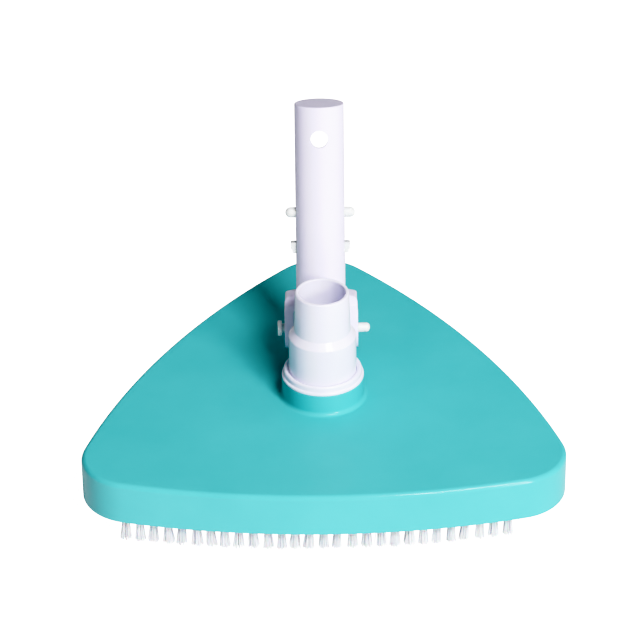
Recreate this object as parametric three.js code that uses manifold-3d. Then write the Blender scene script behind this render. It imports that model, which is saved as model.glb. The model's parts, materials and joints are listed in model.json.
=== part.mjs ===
// Triangular pool vacuum head with a perimeter brush, a swivelling hose nozzle and a tilting pole handle.
// Millimetres, +Z up. The bristle tips stand on z = 0 and the origin is under the middle of the footprint.
// Inside the head group, x = y = 0 is the hose nozzle's axis, and the brush side faces -Y.
import * as THREE from "three";
import { mergeVertices } from "three/addons/utils/BufferGeometryUtils.js";
import Module from "manifold-3d";

const wasm = await Module();
wasm.setup();

// ---- driving dimensions: the triangular body ----
const CORNER_REACH = 119.5; // nozzle axis to the centre of each corner arc
const CORNER_RADIUS = 31;
const SIDE_REACH = 103.25; // nozzle axis to the middle of each bowed side
const SKIRT_BOTTOM_Z = 13;
const DECK_Z = 38; // flat top of the shell
const DECK_EDGE_RADIUS = 2.8;
const SKIRT_LIP = 0.5; // small rounding at the skirt's lower edge
const WALL = 2.4;
const CLEARANCE = 0.4; // between pieces that are assembled but not bonded
const SEAT_GAP = 0.1; // between faces that rest on each other
const SIDE_TURNS = [0, 120, 240]; // degrees about the nozzle axis, front side first

// ---- collar, throat and swivelling nozzle ----
const COLLAR_RADIUS = 23.3;
const COLLAR_TOP_Z = 50.8;
const COLLAR_FOOT_FILLET = 2.5;
const COUNTERBORE_RADIUS = 21.2;
const COUNTERBORE_FLOOR_Z = 44.6;
const THROAT_RADIUS = 17;
const RING_BORE_RADIUS = 19.6;
const RING_LIP_RADIUS = 23.3;
const RING_LIP_HEIGHT = 1.2;
const RING_CREST_RADIUS = 22.2;
const RING_DISH_DEPTH = 1.8;
const RING_TOP_Z = 57;
const NOZZLE_FLANGE_RADIUS = 20.6;
const NOZZLE_FLANGE_HEIGHT = 2.4;
const HOSE_38_RADIUS = 19.2; // lower step, for the larger hose
const HOSE_38_TOP_Z = 77.6;
const HOSE_32_RADIUS = 16; // upper step, for the smaller hose
const HOSE_32_BASE_Z = 81.6;
const NOZZLE_MOUTH_RADIUS = 15.1;
const NOZZLE_TOP_Z = 105.8;
const MOUTH_BORE_RADIUS = 13.2;
const MOUTH_LIP = 0.8; // rounding of the mouth's outer edge
const NOZZLE_BORE_RADIUS = 16.3; // below the shoulder
const NOZZLE_DRAFT = 0.2; // taper of the lower step over its length

// ---- handle hinge ----
const PIVOT_Y = 28;
const PIVOT_Z = 64.6;
const HANDLE_LEAN = 16.6; // degrees back from upright at rest
const HANDLE_SHIFT = -0.5; // the yoke has end play, and stands to the left in it
const EAR_RADIUS = 10;
const EAR_INNER_X = 10.2;
const EAR_THICKNESS = 4.1;
const PIN_RADIUS = 2.7;
const PIN_HOLE_RADIUS = 3;
const PIN_HEAD_RADIUS = 4.4;
const PIN_HEAD_X = -25;
const PIN_HEAD_LENGTH = 2.4;
const PIN_HEAD_EDGE = 0.4;
const PIN_TIP_X = 27.8;

// ---- handle tube and yoke, measured up the tube from the pivot ----
const TUBE_RADIUS = 14;
const TUBE_BORE_RADIUS = 11.5;
const TUBE_TOP = 131;
const TUBE_CAP = 3;
const TUBE_EDGE_RADIUS = 0.6;
const YOKE_DEPTH = 22.4;
const YOKE_OUTER_X = 20.9;
const YOKE_UPPER_X = 20.5;
const YOKE_STEP = 12.8;
const YOKE_STEP_RISE = 0.5; // height of the slope between the arms' two widths
const YOKE_SHOULDER = 19.7; // where the arms' sides and the sloped roof would meet if left sharp
const YOKE_TOP = 22.4;
const YOKE_CROWN_RADIUS = 12.5; // roof of the yoke, seen from its side
const YOKE_EDGE = 1.2;
const YOKE_CORNER = 2.4; // rounding of that shoulder
const SLOT_HALF_WIDTH = 15.7;
const SLOT_TOP = 17.2;
const SLOT_FILLET = 6.2;
const TETHER_HOLE = 112.8;
const TETHER_HOLE_RADIUS = 4.85;
const TETHER_REAR_DROP = 6.2; // the rear opening runs this much further down

// ---- spring clip inside the tube ----
const CLIP_HINGE_X = 8.9;
const CLIP_HINGE = 30;
const CLIP_THICKNESS = 1.8;
const CLIP_WIDTH = 6;
const CLIP_TOP = 74;
const CLIP_SPLIT = 0.3; // gap between the bend and each leg
const LOCK_PIN = 68;
const LOCK_PIN_RADIUS = 3;
const LOCK_PIN_TIP_X = 19.8;
const LOCK_PIN_ROOM = 0.85; // around each locking pin in the tube's wall
const BUTTON_TOP = 50.9;
const BUTTON_STEP = 46.9;
const BUTTON_BOTTOM = 44.8;
const BUTTON_UPPER_X = 17;
const BUTTON_LOWER_X = 16.1;
const BUTTON_RISE = 1.4; // room above each button
const CLIP_EDGE = 0.7; // rounding of the buttons' and legs' outer corners

// ---- brush rows, plate, weights and screws ----
const TUFTS_PER_SIDE = 28;
const TUFT_PITCH = 7.8;
const TUFT_ROOT_RADIUS = 1.95;
const TUFT_TIP_RADIUS = 3.3;
const TUFT_LEAN = 1.5; // tips stand this far outside their roots
const ROW_REACH = 95; // nozzle axis to the roots in the middle of a row
const ROW_RADIUS = 520; // the rows are a little straighter than the sides
const ROW_SHIFT = -4.35; // seen from outside, each row stands nearer its left end
const STRIP_WIDTH = 4.4;
const STRIP_BOTTOM_Z = 13.4;
const STRIP_TOP_Z = 15.2;
const PLATE_BOTTOM_Z = 15.5;
const PLATE_TOP_Z = 18.5;
const POCKET_RIM = 1.6;
const POCKET_HEIGHT = 4;
const WEIGHT_REACH = 70;
const WEIGHT_LENGTH = 50;
const WEIGHT_WIDTH = 44;
const WEIGHT_HEIGHT = 12;
const WEIGHT_CORNER = 6;
const SCREW_CORNER_REACH = 112;
const SCREW_SIDE_REACH = 82;
const SCREW_HEAD_RADIUS = 3.4;
const SCREW_HEAD_HEIGHT = 1.9;
const SCREW_RADIUS = 1.5;
const SCREW_LENGTH = 14;
const BOSS_RADIUS = 4;

const ROUND = 44; // facets on the large turned pieces
const SMALL_ROUND = 20; // facets on pins, bosses and holes
const OVERRUN = 2; // how far a cutter passes beyond the material

// The side arc is tangent to both corner arcs: this is its radius.
const sideRadius = sideArcRadius();

const plastics = {
  teal: finish("#50c2c8", 0.38, 0),
  white: finish("#ecebf4", 0.32, 0),
  nylon: finish("#d9dad2", 0.42, 0),
  bristle: finish("#f2f2f6", 0.6, 0),
  steel: finish("#9aa0a6", 0.35, 1),
  iron: finish("#3f4145", 0.7, 0.6),
};

function finish(color, roughness, metalness) {
  return new THREE.MeshStandardMaterial({ color, roughness, metalness });
}

function radians(degrees) {
  return THREE.MathUtils.degToRad(degrees);
}

function sideArcRadius() {
  const across = CORNER_REACH * Math.cos(radians(30));
  const drop = CORNER_REACH / 2 - SIDE_REACH;
  return (CORNER_RADIUS ** 2 - across ** 2 - drop ** 2) / (2 * (drop + CORNER_RADIUS));
}

// ---- solids: three.js geometry in, manifold solid for joins and cuts, geometry out ----
function toSolid(geometry) {
  const bare = geometry.clone();
  bare.deleteAttribute("normal");
  bare.deleteAttribute("uv");
  const merged = mergeVertices(bare, 1e-4);
  const corners = [];
  for (let i = 0; i < merged.index.count; i += 3) {
    const [a, b, c] = [0, 1, 2].map((k) => merged.index.getX(i + k));
    if (a !== b && b !== c && c !== a) corners.push(a, b, c);
  }
  return new wasm.Manifold(
    new wasm.Mesh({
      numProp: 3,
      vertProperties: Float32Array.from(merged.attributes.position.array),
      triVerts: Uint32Array.from(corners),
    }),
  );
}

function toGeometry(solid) {
  const { vertProperties, triVerts } = solid.getMesh();
  const geometry = new THREE.BufferGeometry();
  geometry.setAttribute("position", new THREE.BufferAttribute(new Float32Array(vertProperties), 3));
  geometry.setIndex(new THREE.BufferAttribute(new Uint32Array(triVerts), 1));
  geometry.computeVertexNormals();
  return geometry;
}

function join(first, ...others) {
  return others.reduce((whole, piece) => whole.add(piece), first);
}

function cut(body, ...cutters) {
  return cutters.reduce((rest, cutter) => rest.subtract(cutter), body);
}

function mesh(name, solid, material) {
  const piece = new THREE.Mesh(toGeometry(solid), material);
  piece.name = name;
  return piece;
}

// Turned solid about Z from a closed outline of [radius, height] pairs, listed counter-clockwise.
function turned(outline, facets = ROUND) {
  const points = [...outline, outline[0]].map(([radius, height]) => new THREE.Vector2(radius, height));
  return toSolid(new THREE.LatheGeometry(points, facets).rotateX(Math.PI / 2));
}

function postZ(radius, bottom, top, x = 0, y = 0, facets = SMALL_ROUND) {
  const post = new THREE.CylinderGeometry(radius, radius, top - bottom, facets).rotateX(Math.PI / 2);
  return toSolid(post.translate(x, y, (top + bottom) / 2));
}

function rodX(radius, left, right, facets = SMALL_ROUND) {
  const rod = new THREE.CylinderGeometry(radius, radius, right - left, facets).rotateZ(-Math.PI / 2);
  return toSolid(rod.translate((left + right) / 2, 0, 0));
}

// Shape drawn in (x, z), given thickness about y = 0.
function slabXZ(shape, depth, edge = 0, curveSegments = 10) {
  const geometry = new THREE.ExtrudeGeometry(shape, {
    depth: depth - 2 * edge,
    curveSegments,
    bevelEnabled: edge > 0,
    bevelThickness: edge,
    bevelSize: edge,
    bevelOffset: -edge,
    bevelSegments: 2,
  });
  geometry.translate(0, 0, edge - depth / 2);
  return toSolid(geometry.rotateX(Math.PI / 2));
}

// Shape drawn in (y, z), running from left to right along x.
function slabYZ(shape, left, right, curveSegments = 12) {
  const settings = { depth: right - left, curveSegments, bevelEnabled: false };
  const geometry = new THREE.ExtrudeGeometry(shape, settings);
  const turn = new THREE.Matrix4().makeBasis(
    new THREE.Vector3(0, 1, 0),
    new THREE.Vector3(0, 0, 1),
    new THREE.Vector3(1, 0, 0),
  );
  return toSolid(geometry.applyMatrix4(turn).translate(left, 0, 0));
}

// Shape drawn in (x, y), running from bottom to top along z.
function slabXY(shape, bottom, top, curveSegments = 8) {
  const settings = { depth: top - bottom, curveSegments, bevelEnabled: false };
  const geometry = new THREE.ExtrudeGeometry(shape, settings);
  return toSolid(geometry.translate(0, 0, bottom));
}

function polygon(pairs) {
  return new THREE.Shape(pairs.map(([x, y]) => new THREE.Vector2(x, y)));
}

function arcPoints(centreX, centreY, radius, fromDegrees, toDegrees, steps) {
  return Array.from({ length: steps + 1 }, (unused, i) => {
    const angle = radians(fromDegrees + ((toDegrees - fromDegrees) * i) / steps);
    return [centreX + radius * Math.cos(angle), centreY + radius * Math.sin(angle)];
  });
}

// ---- the triangular outline: three bowed sides joined by three round corners ----
function bodyOutline(inset) {
  const sideSteps = 14;
  const cornerSteps = 12;
  const sideCentreY = sideRadius - SIDE_REACH;
  const cornerX = CORNER_REACH * Math.cos(radians(30));
  const cornerY = -CORNER_REACH / 2;
  const spread = THREE.MathUtils.radToDeg(Math.atan2(cornerX, sideCentreY - cornerY));
  const front = arcPoints(0, sideCentreY, sideRadius - inset, -90 - spread, -90 + spread, sideSteps);
  const corner = arcPoints(cornerX, cornerY, CORNER_RADIUS - inset, -90 + spread, 30 - spread, cornerSteps);
  const third = [...front, ...corner.slice(1, -1)];
  return SIDE_TURNS.flatMap((turn) =>
    third.map(([x, y]) => {
      const point = new THREE.Vector2(x, y).rotateAround(new THREE.Vector2(), radians(turn));
      return [point.x, point.y];
    }),
  );
}

// Closed solid through a stack of inset outlines, each { z, inset }.
function stacked(levels) {
  const rings = levels.map(({ z, inset }) => bodyOutline(inset).map(([x, y]) => [x, y, z]));
  const count = rings[0].length;
  const positions = [...rings.flat(), [0, 0, levels[0].z], [0, 0, levels.at(-1).z]].flat();
  const floor = rings.length * count;
  const roof = floor + 1;
  const index = [];
  for (let i = 0; i < count; i += 1) {
    const next = (i + 1) % count;
    index.push(floor, next, i);
    index.push(roof, (rings.length - 1) * count + i, (rings.length - 1) * count + next);
    for (let level = 0; level + 1 < rings.length; level += 1) {
      const low = level * count;
      const high = low + count;
      index.push(low + i, low + next, high + next, low + i, high + next, high + i);
    }
  }
  const geometry = new THREE.BufferGeometry();
  geometry.setAttribute("position", new THREE.Float32BufferAttribute(positions, 3));
  geometry.setIndex(index);
  return toSolid(geometry);
}

function outlineSlab(inset, bottom, top) {
  return stacked([
    { z: bottom, inset },
    { z: top, inset },
  ]);
}

function screwPlaces() {
  const corners = SIDE_TURNS.map((turn) => polar(SCREW_CORNER_REACH, turn - 30));
  const sides = SIDE_TURNS.map((turn) => polar(SCREW_SIDE_REACH, turn - 90));
  return [...sides, ...corners];
}

function polar(reach, degrees) {
  return [reach * Math.cos(radians(degrees)), reach * Math.sin(radians(degrees))];
}

// ---- top shell: skirt, deck, collar, hinge ears, throat and screw bosses in one moulding ----
function topShell() {
  const roundedEdge = arcPoints(DECK_EDGE_RADIUS, DECK_Z - DECK_EDGE_RADIUS, DECK_EDGE_RADIUS, 180, 90, 4);
  const outside = stacked([
    { z: SKIRT_BOTTOM_Z, inset: SKIRT_LIP },
    { z: SKIRT_BOTTOM_Z + SKIRT_LIP, inset: 0 },
    ...roundedEdge.map(([inset, z]) => ({ z, inset })),
  ]);
  const hollow = outlineSlab(WALL, SKIRT_BOTTOM_Z - OVERRUN, DECK_Z - WALL);
  const standing = screwPlaces().map(([x, y]) =>
    postZ(BOSS_RADIUS, PLATE_TOP_Z + CLEARANCE, DECK_Z - WALL / 2, x, y),
  );
  const throat = postZ(THROAT_RADIUS + WALL, PLATE_TOP_Z + CLEARANCE, DECK_Z - WALL / 2, 0, 0, ROUND);
  const body = join(cut(outside, hollow), throat, ...standing, collar(), hingeEar(1), hingeEar(-1));
  const screwHoles = screwPlaces().map(([x, y]) =>
    postZ(SCREW_RADIUS + CLEARANCE / 2, SKIRT_BOTTOM_Z, PLATE_BOTTOM_Z + SCREW_LENGTH + 1, x, y, 12),
  );
  const bore = turned([
    [0, SKIRT_BOTTOM_Z],
    [THROAT_RADIUS, SKIRT_BOTTOM_Z],
    [THROAT_RADIUS, COUNTERBORE_FLOOR_Z],
    [COUNTERBORE_RADIUS, COUNTERBORE_FLOOR_Z],
    [COUNTERBORE_RADIUS, COLLAR_TOP_Z + OVERRUN],
    [0, COLLAR_TOP_Z + OVERRUN],
  ]);
  const ringRoom = postZ(RING_LIP_RADIUS + CLEARANCE, COLLAR_TOP_Z, RING_TOP_Z + CLEARANCE, 0, 0, ROUND);
  const pinHole = rodX(PIN_HOLE_RADIUS, -YOKE_OUTER_X, YOKE_OUTER_X).translate(0, PIVOT_Y, PIVOT_Z);
  return cut(body, bore, ringRoom, pinHole, ...screwHoles);
}

function collar() {
  const foot = arcPoints(
    COLLAR_RADIUS + COLLAR_FOOT_FILLET,
    DECK_Z + COLLAR_FOOT_FILLET,
    COLLAR_FOOT_FILLET,
    270,
    180,
    4,
  );
  return turned([
    [0, DECK_Z - WALL / 2],
    [COLLAR_RADIUS + COLLAR_FOOT_FILLET, DECK_Z - WALL / 2],
    ...foot,
    [COLLAR_RADIUS, COLLAR_TOP_Z - SKIRT_LIP],
    [COLLAR_RADIUS - SKIRT_LIP, COLLAR_TOP_Z],
    [0, COLLAR_TOP_Z],
  ]);
}

function hingeEar(side) {
  const crown = arcPoints(PIVOT_Y, PIVOT_Z, EAR_RADIUS, 0, 180, 16);
  const foot = [
    [PIVOT_Y - EAR_RADIUS, DECK_Z - WALL / 2],
    [PIVOT_Y + EAR_RADIUS, DECK_Z - WALL / 2],
  ];
  const near = side > 0 ? EAR_INNER_X : -EAR_INNER_X - EAR_THICKNESS;
  return slabYZ(polygon([...crown, ...foot]), near, near + EAR_THICKNESS);
}

// ---- brush plate: closes the underside, leaves the suction mouth open, seats the weights ----
function brushPlate() {
  const sheet = outlineSlab(WALL + CLEARANCE, PLATE_BOTTOM_Z, PLATE_TOP_Z);
  const pockets = SIDE_TURNS.map((turn) => weightPocket(turn - 30));
  const mouth = postZ(THROAT_RADIUS, PLATE_BOTTOM_Z - OVERRUN, PLATE_TOP_Z + OVERRUN, 0, 0, ROUND);
  const holes = screwPlaces().map(([x, y]) =>
    postZ(SCREW_RADIUS + CLEARANCE, PLATE_BOTTOM_Z - OVERRUN, PLATE_TOP_Z + OVERRUN, x, y, 12),
  );
  return cut(join(sheet, ...pockets), mouth, ...holes);
}

function roundedSlab(length, width, corner, bottom, top) {
  const [x, y] = [length / 2 - corner, width / 2 - corner];
  const outline = [
    ...arcPoints(x, y, corner, 0, 90, 3),
    ...arcPoints(-x, y, corner, 90, 180, 3),
    ...arcPoints(-x, -y, corner, 180, 270, 3),
    ...arcPoints(x, -y, corner, 270, 360, 3),
  ];
  return slabXY(polygon(outline), bottom, top);
}

function weightPocket(direction) {
  const [inner, outer] = [CLEARANCE, CLEARANCE + POCKET_RIM].map((room) => ({
    length: WEIGHT_LENGTH + 2 * room,
    width: WEIGHT_WIDTH + 2 * room,
    corner: WEIGHT_CORNER + room,
  }));
  const rimBottom = PLATE_TOP_Z - 1;
  const rimTop = PLATE_TOP_Z + POCKET_HEIGHT;
  const wall = roundedSlab(outer.length, outer.width, outer.corner, rimBottom, rimTop);
  const room = roundedSlab(inner.length, inner.width, inner.corner, rimBottom - 1, rimTop + 1);
  return wall.subtract(room).translate(WEIGHT_REACH, 0, 0).rotate(0, 0, direction);
}

function ballastWeight(direction) {
  const bottom = PLATE_TOP_Z + CLEARANCE;
  const block = roundedSlab(WEIGHT_LENGTH, WEIGHT_WIDTH, WEIGHT_CORNER, bottom, bottom + WEIGHT_HEIGHT);
  return block.translate(WEIGHT_REACH, 0, 0).rotate(0, 0, direction);
}

// ---- one brush row: a bowed backing strip with flared tufts below it ----
function bristleRow(turn) {
  const centreY = ROW_RADIUS - ROW_REACH;
  const reach = ((TUFTS_PER_SIDE - 1) / 2) * TUFT_PITCH;
  const half = THREE.MathUtils.radToDeg(Math.asin(reach / ROW_RADIUS));
  const [outer, inner] = [ROW_RADIUS + STRIP_WIDTH / 2, ROW_RADIUS - STRIP_WIDTH / 2];
  const endY = centreY - Math.sqrt(ROW_RADIUS ** 2 - reach ** 2);
  const outline = [
    ...arcPoints(0, centreY, outer, -90 - half, -90 + half, 16),
    ...arcPoints(reach, endY, STRIP_WIDTH / 2, -45, 45, 4),
    ...arcPoints(0, centreY, inner, -90 + half, -90 - half, 16),
    ...arcPoints(-reach, endY, STRIP_WIDTH / 2, 135, 225, 4),
  ];
  const strip = slabXY(polygon(outline), STRIP_BOTTOM_Z, STRIP_TOP_Z);
  const tufts = Array.from({ length: TUFTS_PER_SIDE }, (unused, i) => {
    const x = i * TUFT_PITCH - reach;
    return bristleTuft(x, centreY - Math.sqrt(ROW_RADIUS ** 2 - x ** 2));
  });
  return join(strip, ...tufts).translate(ROW_SHIFT, 0, 0).rotate(0, 0, turn);
}

// Flared and leaning outwards: the cylinder is sheared so that its tip stands in front of its root.
function bristleTuft(x, y) {
  const height = STRIP_BOTTOM_Z + 1;
  const tuft = new THREE.CylinderGeometry(TUFT_ROOT_RADIUS, TUFT_TIP_RADIUS, height, 6);
  const shear = new THREE.Matrix4().makeShear(0, 0, 0, 0, 0, TUFT_LEAN / height);
  tuft.rotateX(Math.PI / 2).translate(0, 0, height / 2);
  return toSolid(tuft.applyMatrix4(shear).translate(x, y - TUFT_LEAN, 0));
}

function plateScrew([x, y]) {
  const headTop = PLATE_BOTTOM_Z - SEAT_GAP;
  return turned(
    [
      [0, headTop - SCREW_HEAD_HEIGHT],
      [SCREW_HEAD_RADIUS * 0.8, headTop - SCREW_HEAD_HEIGHT],
      [SCREW_HEAD_RADIUS, headTop - SCREW_HEAD_HEIGHT / 3],
      [SCREW_HEAD_RADIUS, headTop],
      [SCREW_RADIUS, headTop],
      [SCREW_RADIUS, headTop + SCREW_LENGTH - 2],
      [0, headTop + SCREW_LENGTH],
    ],
    12,
  ).translate(x, y, 0);
}

// ---- hose nozzle and the ring that holds its foot flange in the collar ----
function hoseNozzle() {
  const foot = COUNTERBORE_FLOOR_Z + CLEARANCE;
  const flangeTop = foot + NOZZLE_FLANGE_HEIGHT;
  const shoulderEdge = arcPoints(HOSE_38_RADIUS - NOZZLE_DRAFT - 1, HOSE_38_TOP_Z - 1, 1, 0, 60, 2);
  const lipRadius = NOZZLE_MOUTH_RADIUS - MOUTH_LIP;
  const mouthEdge = arcPoints(lipRadius, NOZZLE_TOP_Z - MOUTH_LIP, MOUTH_LIP, 0, 90, 2);
  return turned([
    [NOZZLE_BORE_RADIUS, foot],
    [NOZZLE_FLANGE_RADIUS, foot],
    [NOZZLE_FLANGE_RADIUS, flangeTop],
    [HOSE_38_RADIUS - NOZZLE_DRAFT, flangeTop],
    [HOSE_38_RADIUS, RING_TOP_Z],
    ...shoulderEdge,
    [HOSE_32_RADIUS, HOSE_32_BASE_Z],
    ...mouthEdge,
    [MOUTH_BORE_RADIUS, NOZZLE_TOP_Z],
    [MOUTH_BORE_RADIUS, HOSE_32_BASE_Z],
    [NOZZLE_BORE_RADIUS, HOSE_38_TOP_Z - WALL],
  ]);
}

function retainingRing() {
  const skirtBottom = COUNTERBORE_FLOOR_Z + CLEARANCE + NOZZLE_FLANGE_HEIGHT + CLEARANCE;
  const seat = COLLAR_TOP_Z + SEAT_GAP;
  const lipTop = seat + RING_LIP_HEIGHT;
  const crest = arcPoints(RING_CREST_RADIUS - 0.8, RING_TOP_Z - 0.8, 0.8, 0, 120, 3);
  return turned([
    [RING_BORE_RADIUS, skirtBottom],
    [COUNTERBORE_RADIUS - CLEARANCE, skirtBottom],
    [COUNTERBORE_RADIUS - CLEARANCE, seat],
    [RING_LIP_RADIUS, seat],
    [RING_LIP_RADIUS, lipTop],
    [RING_CREST_RADIUS, lipTop + 0.5],
    ...crest,
    [RING_BORE_RADIUS, RING_TOP_Z - RING_DISH_DEPTH],
  ]);
}

// ---- handle: capped tube on a two-armed yoke; z runs up the tube from the pivot ----
function handle() {
  const roofEdge = TUBE_RADIUS - 1;
  const turn = THREE.MathUtils.radToDeg(Math.atan2(YOKE_UPPER_X - roofEdge, YOKE_TOP - YOKE_SHOULDER));
  const cornerZ = YOKE_SHOULDER - YOKE_CORNER * Math.tan(radians(turn / 2));
  const rightSide = [
    [YOKE_OUTER_X, -YOKE_DEPTH],
    [YOKE_OUTER_X, YOKE_STEP],
    [YOKE_UPPER_X, YOKE_STEP + YOKE_STEP_RISE],
    ...arcPoints(YOKE_UPPER_X - YOKE_CORNER, cornerZ, YOKE_CORNER, 0, turn, 5),
    [roofEdge, YOKE_TOP],
  ];
  const leftSide = rightSide.map(([x, z]) => [-x, z]).reverse();
  const yokeFace = polygon([...rightSide, ...leftSide]);
  const half = YOKE_DEPTH / 2;
  const crownStart = THREE.MathUtils.radToDeg(Math.acos(half / YOKE_CROWN_RADIUS));
  const armSide = polygon([
    ...arcPoints(0, 0, half, 180, 360, 16),
    ...arcPoints(0, YOKE_TOP - YOKE_CROWN_RADIUS, YOKE_CROWN_RADIUS, crownStart, 180 - crownStart, 8),
  ]);
  const yoke = slabXZ(yokeFace, YOKE_DEPTH, YOKE_EDGE).intersect(slabYZ(armSide, -YOKE_DEPTH, YOKE_DEPTH));
  const [edgeX, edgeZ] = [TUBE_RADIUS - TUBE_EDGE_RADIUS, TUBE_TOP - TUBE_EDGE_RADIUS];
  const tubeFoot = SLOT_TOP - SLOT_FILLET;
  const topEdge = arcPoints(edgeX, edgeZ, TUBE_EDGE_RADIUS, 0, 90, 3);
  const tube = turned([[0, tubeFoot], [TUBE_RADIUS, tubeFoot], ...topEdge, [0, TUBE_TOP]], 40);
  const bore = postZ(TUBE_BORE_RADIUS, 0, TUBE_TOP - TUBE_CAP, 0, 0, 40);
  const pinHole = rodX(PIN_HOLE_RADIUS, -YOKE_DEPTH, YOKE_DEPTH);
  return cut(join(yoke, tube), yokeSlot(), bore, pinHole, lockPinHoles(), buttonWindows(), ...tetherHoles());
}

function yokeSlot() {
  const across = SLOT_HALF_WIDTH - SLOT_FILLET;
  const rise = SLOT_TOP - SLOT_FILLET;
  const arch = polygon([
    [-SLOT_HALF_WIDTH, -YOKE_DEPTH],
    [SLOT_HALF_WIDTH, -YOKE_DEPTH],
    ...arcPoints(across, rise, SLOT_FILLET, 0, 90, 5),
    ...arcPoints(-across, rise, SLOT_FILLET, 90, 180, 5),
  ]);
  return slabXZ(arch, 2 * YOKE_DEPTH);
}

// The legs swing, so the pins and buttons rise slightly as they are pressed: the openings leave room above.
function lockPinHoles() {
  const radius = LOCK_PIN_RADIUS + LOCK_PIN_ROOM;
  return rodX(radius, -YOKE_DEPTH, YOKE_DEPTH).translate(0, 0, LOCK_PIN + LOCK_PIN_ROOM / 2);
}

function buttonWindows() {
  const bottom = BUTTON_BOTTOM - CLEARANCE;
  const top = BUTTON_TOP + BUTTON_RISE;
  const window = new THREE.BoxGeometry(2 * YOKE_DEPTH, CLIP_WIDTH + 2 * CLEARANCE, top - bottom);
  return toSolid(window.translate(0, 0, (top + bottom) / 2));
}

function tetherHoles() {
  const through = (height, front, rear) => {
    const depth = rear - front;
    const hole = new THREE.CylinderGeometry(TETHER_HOLE_RADIUS, TETHER_HOLE_RADIUS, depth, SMALL_ROUND);
    return toSolid(hole.translate(0, (front + rear) / 2, height));
  };
  const low = TETHER_HOLE - TETHER_REAR_DROP;
  const slot = new THREE.BoxGeometry(2 * TETHER_HOLE_RADIUS, 2 * TUBE_RADIUS, TETHER_REAR_DROP);
  return [
    through(TETHER_HOLE, -2 * TUBE_RADIUS, 2 * TUBE_RADIUS),
    through(low, 0, 2 * TUBE_RADIUS),
    toSolid(slot.translate(0, TUBE_RADIUS, (TETHER_HOLE + low) / 2)),
  ];
}

// Headed pin, turned about X: flat head on the left, rounded tip on the right.
function pivotPin() {
  const tip = arcPoints(0, PIN_TIP_X - PIN_RADIUS, PIN_RADIUS, 0, 90, 4);
  const lathe = turned(
    [
      [0, PIN_HEAD_X],
      [PIN_HEAD_RADIUS - PIN_HEAD_EDGE, PIN_HEAD_X],
      [PIN_HEAD_RADIUS, PIN_HEAD_X + PIN_HEAD_EDGE],
      [PIN_HEAD_RADIUS, PIN_HEAD_X + PIN_HEAD_LENGTH],
      [PIN_RADIUS, PIN_HEAD_X + PIN_HEAD_LENGTH],
      ...tip.slice(0, -1),
      [0, PIN_TIP_X],
    ],
    SMALL_ROUND,
  );
  return lathe.rotate(0, 90, 0);
}

// ---- spring clip: a round bend and two legs, each with a locking pin and a press button ----
function clipBend() {
  const outer = CLIP_HINGE_X + CLIP_THICKNESS / 2;
  const strip = polygon([
    ...arcPoints(0, CLIP_HINGE, outer, 180, 360, 14),
    ...arcPoints(0, CLIP_HINGE, outer - CLIP_THICKNESS, 360, 180, 14),
  ]);
  return slabXZ(strip, CLIP_WIDTH);
}

function clipLeg(side) {
  const inner = CLIP_HINGE_X - CLIP_THICKNESS / 2;
  const outer = CLIP_HINGE_X + CLIP_THICKNESS / 2;
  const profile = polygon([
    [inner, CLIP_HINGE + CLIP_SPLIT],
    [outer, CLIP_HINGE + CLIP_SPLIT],
    [outer, BUTTON_BOTTOM],
    [BUTTON_LOWER_X, BUTTON_BOTTOM],
    [BUTTON_LOWER_X, BUTTON_STEP],
    [BUTTON_UPPER_X, BUTTON_STEP],
    [BUTTON_UPPER_X, BUTTON_TOP - CLIP_EDGE],
    [BUTTON_UPPER_X - CLIP_EDGE, BUTTON_TOP],
    [outer, BUTTON_TOP],
    [outer, CLIP_TOP - CLIP_EDGE],
    [outer - CLIP_EDGE, CLIP_TOP],
    [inner, CLIP_TOP],
  ]);
  const dome = arcPoints(0, LOCK_PIN_TIP_X - LOCK_PIN_RADIUS, LOCK_PIN_RADIUS, 0, 90, 4).slice(0, -1);
  const pin = turned([[0, CLIP_HINGE_X], [LOCK_PIN_RADIUS, CLIP_HINGE_X], ...dome, [0, LOCK_PIN_TIP_X]], 16);
  const leg = slabXZ(profile, CLIP_WIDTH).add(pin.rotate(0, 90, 0).translate(0, 0, LOCK_PIN));
  return side > 0 ? leg : leg.rotate(0, 0, 180);
}

// ---- assembly ----
function handleAssembly() {
  const assembly = new THREE.Group();
  assembly.position.set(HANDLE_SHIFT, PIVOT_Y, PIVOT_Z);
  assembly.rotation.x = -radians(HANDLE_LEAN);
  assembly.add(
    mesh("handle", handle(), plastics.white),
    mesh("pivot_pin", pivotPin(), plastics.nylon),
    mesh("clip_bend", clipBend(), plastics.nylon),
    mesh("clip_leg_left", clipLeg(-1), plastics.nylon),
    mesh("clip_leg_right", clipLeg(1), plastics.nylon),
  );
  return assembly;
}

function headAssembly() {
  const rowNames = ["front", "right", "left"];
  const cornerNames = ["right", "rear", "left"];
  const screwNames = [...rowNames, ...cornerNames.map((name) => `${name}_corner`)];
  const head = new THREE.Group();
  head.add(
    mesh("top_shell", topShell(), plastics.teal),
    mesh("brush_plate", brushPlate(), plastics.teal),
    mesh("hose_nozzle", hoseNozzle(), plastics.white),
    mesh("nozzle_retaining_ring", retainingRing(), plastics.white),
  );
  SIDE_TURNS.forEach((turn, i) => {
    head.add(mesh(`bristle_row_${rowNames[i]}`, bristleRow(turn), plastics.bristle));
    head.add(mesh(`ballast_weight_${cornerNames[i]}`, ballastWeight(turn - 30), plastics.iron));
  });
  screwPlaces().forEach((place, i) => {
    head.add(mesh(`plate_screw_${screwNames[i]}`, plateScrew(place), plastics.steel));
  });
  head.add(handleAssembly());
  return head;
}

const group = new THREE.Group();
const head = headAssembly();
head.position.y = -(CORNER_REACH + CORNER_RADIUS - SIDE_REACH) / 2;
group.add(head);

export default group;
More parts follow.
